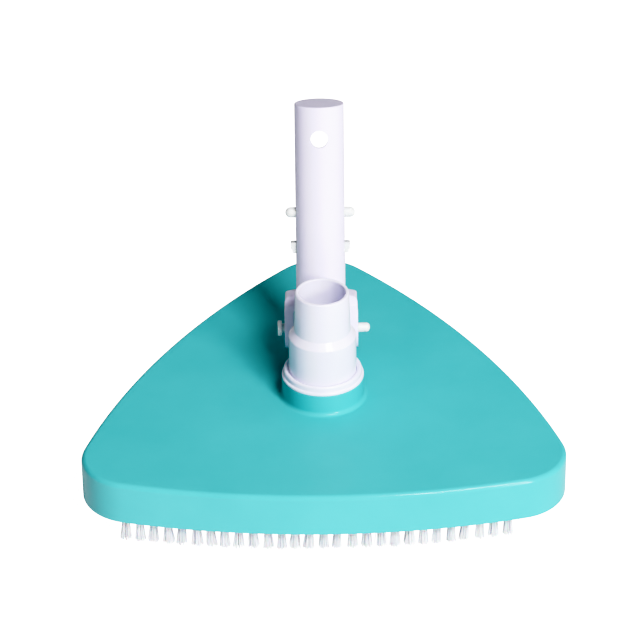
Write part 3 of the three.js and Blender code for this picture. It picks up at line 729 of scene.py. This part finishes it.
# ---------------------------------------------------------------- handle
def yoke():
    """Block with a round lower end, sloped shoulders and a roof that falls to front and rear."""
    left = [
        (-YOKE_OUTER_X, -YOKE_HALF_DEPTH - 1, 0),
        (-YOKE_OUTER_X, YOKE_STEP, 0.3),
        (-YOKE_UPPER_X, YOKE_STEP_TOP, 0.3),
        (-YOKE_UPPER_X, YOKE_SHOULDER, YOKE_CORNER),
        (-TUBE_RADIUS + 1, YOKE_TOP, 0),
    ]
    right = [(-x, z, radius) for x, z, radius in reversed(left)]
    face = rounded(left + right, 10)
    crown_start = math.degrees(math.acos(YOKE_HALF_DEPTH / YOKE_CROWN_RADIUS))
    crown_centre = YOKE_TOP - YOKE_CROWN_RADIUS
    side = arc(0, 0, YOKE_HALF_DEPTH, 180, 360, 48)
    side += arc(0, crown_centre, YOKE_CROWN_RADIUS, crown_start, 180 - crown_start, 24)
    front = prism(face, -SHORT_REACH, SHORT_REACH, "xz")
    flank = prism(side, -LONG_REACH, LONG_REACH, "yz")
    return softened(combined(front, flank, "INTERSECT"), 1.1, 4)


def handle_cutters():
    """Slot between the arms, bore, and every hole through the tube and yoke."""
    arch = rounded([
        (-SLOT_X, -LONG_REACH, 0),
        (SLOT_X, -LONG_REACH, 0),
        (SLOT_X, SLOT_TOP, SLOT_FILLET),
        (-SLOT_X, SLOT_TOP, SLOT_FILLET),
    ], 10)
    lock_hole = rod(LOCK_PIN_RADIUS + LOCK_PIN_ROOM, -LONG_REACH, LONG_REACH, "x", 48)
    window_low = (-LONG_REACH, -WINDOW_HALF_WIDTH, BUTTON_BOTTOM - CLEARANCE)
    window_high = (LONG_REACH, WINDOW_HALF_WIDTH, BUTTON_TOP + BUTTON_RISE)
    tether_hole = rod(TETHER_RADIUS, -LONG_REACH, 0, "y")
    return [
        prism(arch, -SHORT_REACH, SHORT_REACH, "xz"),
        rod(TUBE_BORE_RADIUS, 0, TUBE_TOP - TUBE_CAP, "z", 128),
        rod(PIN_HOLE_RADIUS, -LONG_REACH, LONG_REACH, "x", 48),
        moved(lock_hole, Matrix.Translation((0, 0, LOCK_PIN + LOCK_PIN_ROOM / 2))),
        block(window_low, window_high),
        moved(tether_hole, Matrix.Translation((0, 0, TETHER_HOLE))),
        tether_slot(),
    ]


def build_handle():
    """Capped tube on the two-armed yoke."""
    tube = rounded([
        (0, TUBE_FOOT, 0),
        (TUBE_RADIUS, TUBE_FOOT, 0),
        (TUBE_RADIUS, TUBE_TOP, TUBE_EDGE),
        (0, TUBE_TOP, 0),
    ])
    body = combined(yoke(), revolved(tube, 160), "UNION")
    for cutter in handle_cutters():
        body = combined(body, cutter, "DIFFERENCE")
    body = softened(body, 0.22, 2, 50)
    piece("handle_fine", body, HANDLE, "handle", WHITE_TUBE, "handle")


def tether_slot():
    """Rear opening of the tether hole: the same width, run further down the tube."""
    low = TETHER_HOLE - TETHER_DROP
    outline = arc(0, TETHER_HOLE, TETHER_RADIUS, 0, 180, 24) + arc(0, low, TETHER_RADIUS, 180, 360, 24)
    return prism(outline, -0.5, LONG_REACH, "xz")


def build_pin():
    """Headed nylon pin with a serrated head and a bullet tip."""
    start, end = pin_low.x, pin_high.x
    head_end = start + PIN_HEAD_LENGTH
    depth = 0.12

    def serration(radius, z, angle):
        on_rim = radius > 4 and z < head_end + 0.1
        return radius + (depth * math.cos(PIN_TEETH * angle) - depth if on_rim else 0)

    profile = rounded([
        (0, start, 0),
        (PIN_HEAD_RADIUS, start, 0.35),
        (PIN_HEAD_RADIUS, head_end, 0.35),
        (PIN_RADIUS, head_end, 0.3),
        (PIN_RADIUS, end, 2.2),
        (0, end, 0),
    ], 8)
    mesh = revolved(profile, 208, serration)
    moved(mesh, Matrix.Rotation(math.pi / 2, 4, "Y"))
    piece("pivot_pin_fine", mesh, HANDLE, "handle", NYLON, "pivot_pin")


def clip_button(root):
    """Stepped press button, its upper part further out, from x = root out through the tube's window."""
    overlap = BUTTON_STEP + 0.4
    upper = rounded([
        (root, BUTTON_STEP, 0),
        (BUTTON_UPPER_X, BUTTON_STEP, 0.5),
        (BUTTON_UPPER_X, BUTTON_TOP, 1),
        (root, BUTTON_TOP, 0),
    ])
    lower = rounded([
        (root, BUTTON_BOTTOM, 0),
        (BUTTON_LOWER_X, BUTTON_BOTTOM, 0.7),
        (BUTTON_LOWER_X, overlap, 0),
        (root, overlap, 0),
    ])
    upper = prism(upper, -BUTTON_HALF_WIDTH, BUTTON_HALF_WIDTH, "xz")
    lower = prism(lower, 0.1 - BUTTON_HALF_WIDTH, BUTTON_HALF_WIDTH - 0.1, "xz")
    return softened(combined(upper, lower, "UNION"), 0.45, 3)


def clip_leg(side):
    """Spring leg with a domed locking pin and a stepped button."""
    inner, outer = CLIP_X - CLIP_HALF_THICKNESS, CLIP_X + CLIP_HALF_THICKNESS
    foot = CLIP_HINGE + CLIP_SPLIT
    strip = rounded([(inner, foot, 0), (outer, foot, 0), (outer, CLIP_TOP, 0.8), (inner, CLIP_TOP, 0.6)])
    leg = softened(prism(strip, -CLIP_HALF_WIDTH, CLIP_HALF_WIDTH, "xz"), 0.3, 2)
    dome = arc(0, LOCK_PIN_TIP - LOCK_PIN_RADIUS, LOCK_PIN_RADIUS, 0, 88, 12)
    pin = revolved([(0, CLIP_X), (LOCK_PIN_RADIUS, CLIP_X)] + dome + [(0, LOCK_PIN_TIP)], 64)
    moved(pin, Matrix.Translation((0, 0, LOCK_PIN)) @ Matrix.Rotation(math.pi / 2, 4, "Y"))
    leg = combined(combined(leg, clip_button(outer - 0.4), "UNION"), pin, "UNION")
    return leg if side > 0 else moved(leg, Matrix.Rotation(math.pi, 4, "Z"))


def build_clip():
    """Two legs, each on its own body, and the bend that joins their feet."""
    for side, name in ((-1, "left"), (1, "right")):
        leg = clip_leg(side)
        piece(f"clip_leg_{name}_fine", leg, HANDLE, f"clip_{name}", NYLON, f"clip_leg_{name}")
    outer = CLIP_X + CLIP_HALF_THICKNESS
    strip = arc(0, CLIP_HINGE, outer, 180, 360, 32)
    strip += arc(0, CLIP_HINGE, outer - 2 * CLIP_HALF_THICKNESS, 360, 180, 32)
    bend = softened(prism(strip, -CLIP_HALF_WIDTH, CLIP_HALF_WIDTH, "xz"), 0.3, 2)
    piece("clip_bend_fine", bend, HANDLE, "handle", NYLON, "clip_bend")


# ---------------------------------------------------------------- brush rows
def filament(rng, root, tip, sag, radius, vertices, faces, shades, shade):
    """A thin five-sided filament from root to tip, bowed sideways by sag."""
    sides, levels = 5, 3
    base = len(vertices)
    spin = rng.uniform(0, 2 * math.pi)
    for level in range(levels + 1):
        t = level / levels
        centre = root.lerp(tip, t) + sag * (4 * t * (1 - t))
        width = radius * (1 - 0.2 * t**3)
        for k in range(sides):
            angle = spin + 2 * math.pi * k / sides
            vertices.append(centre + Vector((width * math.cos(angle), width * math.sin(angle), 0)))
            # painted shade, fading out towards the tip
            shades.append(shade * (1 - 0.7 * t**2))
    for level in range(levels):
        for k in range(sides):
            a = base + level * sides + k
            b = base + level * sides + (k + 1) % sides
            faces.append((a, a + sides, b + sides, b))
    faces.append(tuple(base + k for k in range(sides)))
    top = base + levels * sides
    faces.append(tuple(top + k for k in reversed(range(sides))))


def tuft(rng, place, along, vertices, faces, shades):
    """One bundle: filaments packed at the root, flared at the tips, leaning outwards, a few splayed."""
    across = Vector((-along.y, along.x, 0))
    lean = along * rng.gauss(0, 0.4) + Vector((0, -TUFT_LEAN, 0)) + across * rng.gauss(0, 0.25)
    flare = rng.uniform(1.7, 2.15)
    for k in range(FILAMENTS):
        reach = math.sqrt((k + 0.5) / FILAMENTS)
        angle = k * math.pi * (3 - math.sqrt(5)) + rng.uniform(-0.3, 0.3)
        unit = along * (reach * math.cos(angle)) + across * (reach * math.sin(angle))
        stray = rng.random() < STRAYS
        spread = flare * (rng.uniform(1.1, 1.4) if stray else rng.uniform(0.92, 1.04))
        root = place + unit * TUFT_ROOT_RADIUS + Vector((0, 0, STRIP_BOTTOM + 0.3))
        length = abs(rng.gauss(0, 0.3))
        tip = place + unit * TUFT_ROOT_RADIUS * spread + lean + Vector((0, 0, length))
        sag = Vector((rng.gauss(0, 0.1), rng.gauss(0, 0.1), 0)) - unit * rng.uniform(0.0, 0.2)
        # painted shade on the filaments at the tuft's edges along the row, where it meets the next tuft, and on
        # splayed ones
        rim = max(0.0, abs(reach * math.cos(angle)) - RIM_START) * 8
        shade = min(1.0, rim + (0.6 if stray else 0.0)) * rng.uniform(0.35, 1.0)
        filament(rng, root, tip, sag, FILAMENT_RADIUS, vertices, faces, shades, shade)


def row_mesh(seed):
    """One row in the front side's place: a backing strip with round ends, and its tufts."""
    rng = random.Random(seed)
    vertices, faces, shades = [], [], []
    centre = ROW_RADIUS - ROW_REACH
    reach = (TUFTS - 1) / 2 * TUFT_PITCH
    half = math.degrees(math.asin(reach / ROW_RADIUS))
    end = centre - math.sqrt(ROW_RADIUS**2 - reach**2)
    outline = arc(0, centre, ROW_RADIUS + STRIP_HALF_WIDTH, -90 - half, -90 + half, 64)
    outline += arc(reach, end, STRIP_HALF_WIDTH, -60, 60, 8)
    outline += arc(0, centre, ROW_RADIUS - STRIP_HALF_WIDTH, -90 + half, -90 - half, 64)
    outline += arc(-reach, end, STRIP_HALF_WIDTH, 120, 240, 8)
    strip = softened(prism(outline, STRIP_BOTTOM, strip_top, "xy"), 0.4, 2)
    vertices += [v.co.copy() for v in strip.vertices]
    faces += [tuple(p.vertices) for p in strip.polygons]
    shades += [STRIP_SHADE] * len(vertices)
    for k in range(TUFTS):
        x = k * TUFT_PITCH - reach
        y = centre - math.sqrt(ROW_RADIUS**2 - x**2)
        along = Vector((centre - y, x, 0)).normalized()
        tuft(rng, Vector((x, y, 0)), along, vertices, faces, shades)
    mesh = bpy.data.meshes.new("row")
    mesh.from_pydata([tuple(v) for v in vertices], [], faces)
    mesh.attributes.new("shade", "FLOAT", "POINT").data.foreach_set("value", shades)
    return moved(mesh, Matrix.Translation((ROW_SHIFT, 0, 0)))


def build_rows():
    """The front row, and the same row turned to the other two sides with its own filaments."""
    for turn, name in zip(SIDE_TURNS, ("front", "right", "left")):
        mesh = moved(row_mesh(turn + 7), Matrix.Rotation(math.radians(turn), 4, "Z"))
        node = f"bristle_row_{name}"
        piece(f"{node}_fine", mesh, HEAD, "head", BRISTLE, node, sharp=60)


# ---------------------------------------------------------------- fasteners and weights
def screw():
    """Pan head screw with a cross recess, the head's bearing face at the origin and the point up."""
    profile = rounded([
        (0, -SCREW_HEAD_HEIGHT, 0),
        (SCREW_HEAD_RADIUS - 0.4, -SCREW_HEAD_HEIGHT, 0.9),
        (SCREW_HEAD_RADIUS, -0.6, 0.5),
        (SCREW_HEAD_RADIUS, 0, 0.15),
        (SCREW_RADIUS, 0, 0),
        (SCREW_RADIUS, SCREW_LENGTH - 2, 0),
        (0, SCREW_LENGTH, 0),
    ], 5)
    body = revolved(profile, 64)
    for x, y in ((RECESS_REACH, RECESS_HALF_WIDTH), (RECESS_HALF_WIDTH, RECESS_REACH)):
        recess = prism([(-x, -y), (x, -y), (x, y), (-x, y)], -3, -0.9, "xy")
        body = combined(body, recess, "DIFFERENCE")
    return softened(body, 0.1, 2, 50)


def build_screws():
    """One screw for each of the CAD's, its head seated on the plate's underside."""
    fine_screw = screw()
    seat = PLATE_BOTTOM - SEAT_GAP
    for node in sorted(name for name in frame["nodes"] if name.startswith("plate_screw")):
        low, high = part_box(node)
        centre = (low + high) / 2
        place = Matrix.Translation((centre.x, centre.y, seat * MM)) @ Matrix.Scale(MM, 4)
        piece(f"{node}_fine", fine_screw.copy(), place, "head", STEEL, node)


def finish_weights():
    """The ballast weights keep their CAD shape and take the casting's material."""
    for name, node in frame["nodes"].items():
        if name.startswith("ballast_weight"):
            node.data.materials.clear()
            node.data.materials.append(IRON)


# ---------------------------------------------------------------- stage, light and camera
def build_floor():
    """Square floor at the level of the bristle tips."""
    far = FLOOR_REACH
    mesh = bpy.data.meshes.new("floor")
    mesh.from_pydata([(-far, -far, 0), (far, -far, 0), (far, far, 0), (-far, far, 0)], [], [(0, 1, 2, 3)])
    mesh.materials.append(floor_white())
    floor = bpy.data.objects.new("floor", mesh)
    bpy.context.scene.collection.objects.link(floor)


def aim(thing, place, target):
    """Stands a lamp at a place and turns it to face the target."""
    thing.location = place
    thing.rotation_euler = (target - place).to_track_quat("-Z", "Y").to_euler()


def area_light(name, azimuth, elevation, size, power):
    """Square lamp at a set distance from the object. Azimuth is counted from the front to the right."""
    lamp = bpy.data.lights.new(name, "AREA")
    lamp.shape = "SQUARE"
    lamp.size = size
    lamp.energy = power
    lamp.color = LAMP_TINT
    made = bpy.data.objects.new(name, lamp)
    bpy.context.scene.collection.objects.link(made)
    a, e = math.radians(azimuth), math.radians(elevation)
    offset = Vector((math.sin(a) * math.cos(e), -math.cos(a) * math.cos(e), math.sin(e)))
    aim(made, LAMP_TARGET + offset * LAMP_DISTANCE, LAMP_TARGET)


def build_light():
    """Even sky, a key and a low light from the front right, and a weak high one from the right."""
    world = bpy.data.worlds.new("studio")
    world.use_nodes = True
    background = world.node_tree.nodes["Background"]
    background.inputs["Color"].default_value = (0.96, 0.97, 1.0, 1)
    background.inputs["Strength"].default_value = SKY
    bpy.context.scene.world = world
    area_light("key", 26, 47, 0.75, KEY_POWER)
    area_light("low", 34, 19, 0.5, LOW_POWER)
    area_light("high", 110, 60, 0.9, HIGH_POWER)
    bpy.context.scene.cycles.use_denoising = True


def set_tones():
    """Film-like response: dark tones deepen, bright tones roll off to white, shaded teal loses its red."""
    view = bpy.context.scene.view_settings
    view.view_transform = "Standard"
    view.use_curve_mapping = True
    curves = view.curve_mapping
    curves.black_level = (DARKEST, DARKEST, DARKEST)
    curves.white_level = (BRIGHTEST, BRIGHTEST, BRIGHTEST)
    span = BRIGHTEST - DARKEST
    red, response = curves.curves[0], curves.curves[3]
    for scene_value, shown_value in TONES:
        response.points.new((scene_value - DARKEST) / span, shown_value)
    for red_value, toned_value in RED_TOE:
        red.points.new(red_value / span, toned_value / span)
    curves.update()


def build_camera():
    """Long lens a little above, looking down on the front side."""
    lens = bpy.data.cameras.new("camera")
    lens.sensor_width = 36
    lens.lens = LENS
    lens.clip_end = 20
    camera = bpy.data.objects.new("camera", lens)
    bpy.context.scene.collection.objects.link(camera)
    offset = Vector((0, -math.cos(CAMERA_ELEVATION), math.sin(CAMERA_ELEVATION))) * CAMERA_DISTANCE
    place = CAMERA_TARGET + offset
    look = (CAMERA_TARGET - place).to_track_quat("-Z", "Y").to_matrix().to_4x4()
    camera.matrix_world = Matrix.Translation(place) @ look @ Matrix.Rotation(CAMERA_ROLL, 4, "Z")
    bpy.context.scene.camera = camera


build_shell()
build_plate()
build_nozzle()
build_ring()
build_handle()
build_pin()
build_clip()
build_rows()
build_screws()
finish_weights()
build_floor()
build_light()
set_tones()
build_camera()
